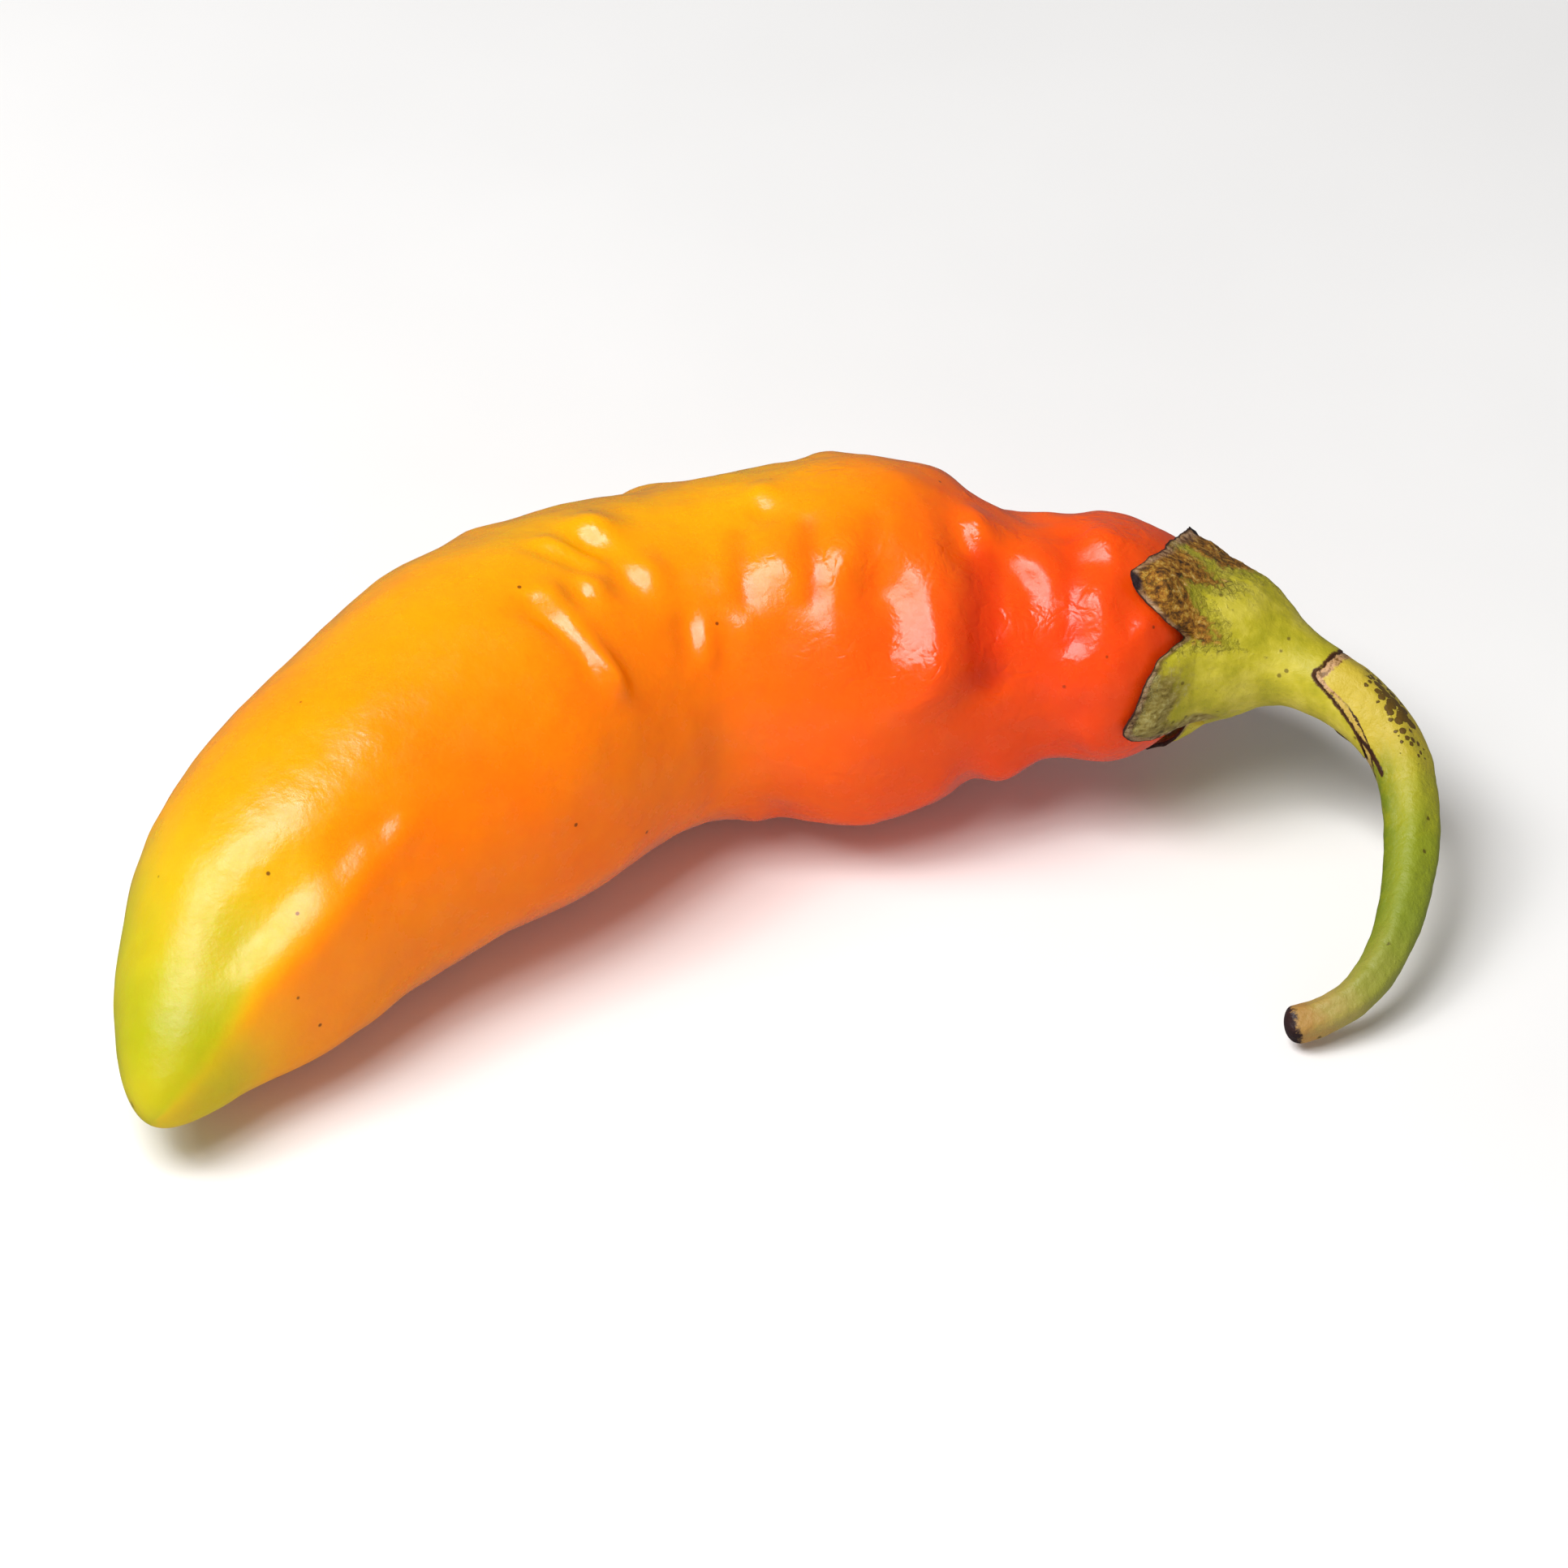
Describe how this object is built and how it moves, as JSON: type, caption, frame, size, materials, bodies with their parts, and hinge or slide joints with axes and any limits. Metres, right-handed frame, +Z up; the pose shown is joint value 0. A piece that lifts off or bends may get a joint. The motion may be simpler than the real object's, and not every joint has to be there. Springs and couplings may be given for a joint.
{
  "type": "seasoning pepper",
  "caption": "Whole seasoning pepper lying on its side: a curved glossy pod with bumps and creases, a toothed calyx and a bent stem.",
  "frame": {"origin": "on the flat spot under the pod's belly, on the surface that the pepper lies on", "axes": "+X along the pepper's longest extent, towards the calyx and the stem; +Y towards the outer side of the pod's curve; +Z up from the surface, the shortest extent"},
  "size_m": [0.0902, 0.0557, 0.0258],
  "materials": {
    "skin": "glossy waxy skin",
    "calyx": "dull, half dried leaf",
    "stem": "dull satin, ridged"
  },
  "bodies": {
    "root": {"pod": "skin", "calyx": "calyx", "stem": "stem"}
  },
  "joints": []
}
